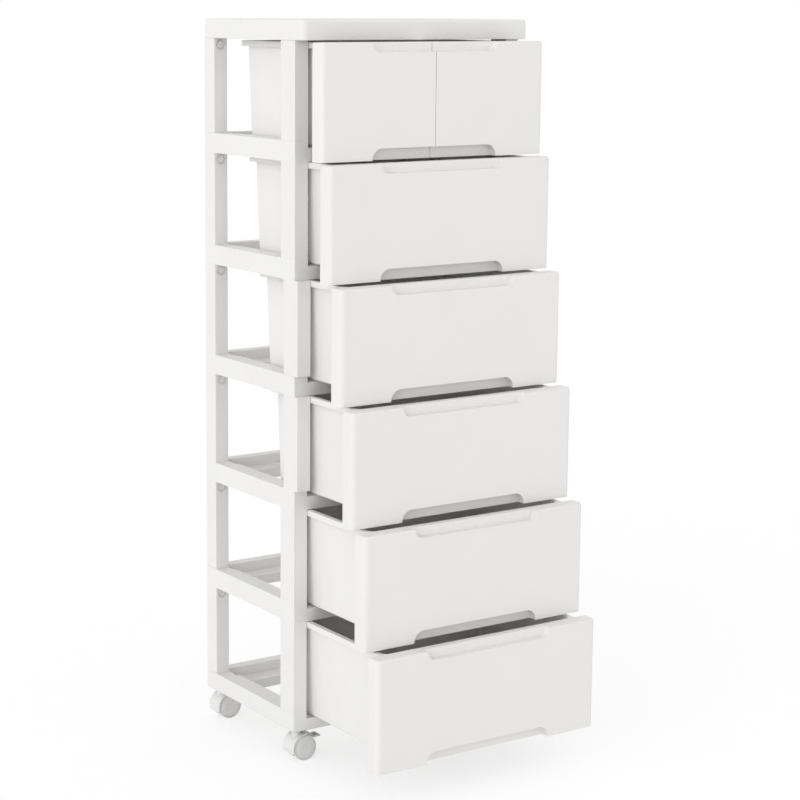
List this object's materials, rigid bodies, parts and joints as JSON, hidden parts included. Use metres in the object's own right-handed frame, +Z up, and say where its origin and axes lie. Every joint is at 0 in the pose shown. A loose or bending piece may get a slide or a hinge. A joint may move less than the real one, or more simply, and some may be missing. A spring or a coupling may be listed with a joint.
{
  "type": "rolling drawer tower",
  "caption": "Tall narrow storage tower of stacked plastic tiers with pull-out drawers, open side bays and small twin-wheel casters.",
  "frame": {"origin": "on the floor, below the middle of the tower's outline with its drawers as they stand", "axes": "+Z up, -Y towards the side where the drawers open, +X to the right seen from there"},
  "size_m": [0.4228, 0.5002, 1.157],
  "materials": {
    "white_shell": "satin moulded",
    "white_post": "satin moulded",
    "drawer_face": "satin moulded",
    "drawer_box": "satin moulded",
    "pin_plastic": "satin moulded",
    "caster_white": "smooth",
    "wheel_grey": "smooth hard tread",
    "lever_grey": "smooth",
    "stem_steel": "zinc plated"
  },
  "bodies": {
    "tower": {"top_panel": "white_shell", "shelf_frame_1": "white_shell", "shelf_frame_2": "white_shell", "shelf_frame_3": "white_shell", "shelf_frame_4": "white_shell", "shelf_frame_5": "white_shell", "base_frame": "white_shell", "post_1_left_front": "white_post", "post_1_left_rear": "white_post", "post_1_right_front": "white_post", "post_1_right_rear": "white_post", "post_2_left_front": "white_post", "post_2_left_rear": "white_post", "post_2_right_front": "white_post", "post_2_right_rear": "white_post", "post_3_left_front": "white_post", "post_3_left_rear": "white_post", "post_3_right_front": "white_post", "post_3_right_rear": "white_post", "post_4_left_front": "white_post", "post_4_left_rear": "white_post", "post_4_right_front": "white_post", "post_4_right_rear": "white_post", "post_5_left_front": "white_post", "post_5_left_rear": "white_post", "post_5_right_front": "white_post", "post_5_right_rear": "white_post", "post_6_left_front": "white_post", "post_6_left_rear": "white_post", "post_6_right_front": "white_post", "post_6_right_rear": "white_post", "lock_pins": "pin_plastic", "caster_stems": "stem_steel"},
    "drawer_1_left": {"drawer_front_1_left": "drawer_face", "drawer_box_1_left": "drawer_box"},
    "drawer_1_right": {"drawer_front_1_right": "drawer_face", "drawer_box_1_right": "drawer_box"},
    "drawer_2": {"drawer_front_2": "drawer_face", "drawer_box_2": "drawer_box"},
    "drawer_3": {"drawer_front_3": "drawer_face", "drawer_box_3": "drawer_box"},
    "drawer_4": {"drawer_front_4": "drawer_face", "drawer_box_4": "drawer_box"},
    "drawer_5": {"drawer_front_5": "drawer_face", "drawer_box_5": "drawer_box"},
    "drawer_6": {"drawer_front_6": "drawer_face", "drawer_box_6": "drawer_box"},
    "caster_left_front": {"caster_hood_left_front": "caster_white"},
    "wheels_left_front": {"caster_wheels_left_front": "wheel_grey"},
    "brake_left": {"brake_lever_left": "lever_grey"},
    "caster_left_rear": {"caster_hood_left_rear": "caster_white"},
    "wheels_left_rear": {"caster_wheels_left_rear": "wheel_grey"},
    "caster_right_front": {"caster_hood_right_front": "caster_white"},
    "wheels_right_front": {"caster_wheels_right_front": "wheel_grey"},
    "brake_right": {"brake_lever_right": "lever_grey"},
    "caster_right_rear": {"caster_hood_right_rear": "caster_white"},
    "wheels_right_rear": {"caster_wheels_right_rear": "wheel_grey"}
  },
  "joints": [
    {"name": "drawer_1_left_slide", "type": "slide", "parent": "tower", "child": "drawer_1_left", "axis": [0, -1, 0], "range_m": [-0.0448, 0.16627]},
    {"name": "drawer_1_right_slide", "type": "slide", "parent": "tower", "child": "drawer_1_right", "axis": [0, -1, 0], "range_m": [-0.0448, 0.16627]},
    {"name": "drawer_2_slide", "type": "slide", "parent": "tower", "child": "drawer_2", "axis": [0, -1, 0], "range_m": [-0.0679, 0.14317]},
    {"name": "drawer_3_slide", "type": "slide", "parent": "tower", "child": "drawer_3", "axis": [0, -1, 0], "range_m": [-0.091, 0.11157]},
    {"name": "drawer_4_slide", "type": "slide", "parent": "tower", "child": "drawer_4", "axis": [0, -1, 0], "range_m": [-0.1232, 0.07937]},
    {"name": "drawer_5_slide", "type": "slide", "parent": "tower", "child": "drawer_5", "axis": [0, -1, 0], "range_m": [-0.1662, 0.04487]},
    {"name": "drawer_6_slide", "type": "slide", "parent": "tower", "child": "drawer_6", "axis": [0, -1, 0], "range_m": [-0.2025, 0.00857]},
    {"name": "caster_left_front_swivel", "type": "hinge", "parent": "tower", "child": "caster_left_front", "pos_m": [-0.1915, -0.0013, 0.046], "axis": [0, 0, 1], "continuous": true},
    {"name": "wheels_left_front_spin", "type": "hinge", "parent": "caster_left_front", "child": "wheels_left_front", "pos_m": [-0.183, -0.0013, 0.02], "axis": [0, 1, 0], "continuous": true},
    {"name": "brake_left_press", "type": "hinge", "parent": "caster_left_front", "child": "brake_left", "pos_m": [-0.17813, -0.0013, 0.04289], "axis": [0, 1, 0], "range_deg": [0, 6.5]},
    {"name": "caster_left_rear_swivel", "type": "hinge", "parent": "tower", "child": "caster_left_rear", "pos_m": [-0.1915, 0.2327, 0.046], "axis": [0, 0, 1], "continuous": true},
    {"name": "wheels_left_rear_spin", "type": "hinge", "parent": "caster_left_rear", "child": "wheels_left_rear", "pos_m": [-0.183, 0.2327, 0.02], "axis": [0, 1, 0], "continuous": true},
    {"name": "caster_right_front_swivel", "type": "hinge", "parent": "tower", "child": "caster_right_front", "pos_m": [0.1915, -0.0013, 0.046], "axis": [0, 0, 1], "continuous": true},
    {"name": "wheels_right_front_spin", "type": "hinge", "parent": "caster_right_front", "child": "wheels_right_front", "pos_m": [0.183, -0.0013, 0.02], "axis": [0, 1, 0], "continuous": true},
    {"name": "brake_right_press", "type": "hinge", "parent": "caster_right_front", "child": "brake_right", "pos_m": [0.17813, -0.0013, 0.04289], "axis": [0, -1, 0], "range_deg": [0, 6.5]},
    {"name": "caster_right_rear_swivel", "type": "hinge", "parent": "tower", "child": "caster_right_rear", "pos_m": [0.1915, 0.2327, 0.046], "axis": [0, 0, 1], "continuous": true},
    {"name": "wheels_right_rear_spin", "type": "hinge", "parent": "caster_right_rear", "child": "wheels_right_rear", "pos_m": [0.183, 0.2327, 0.02], "axis": [0, 1, 0], "continuous": true}
  ]
}
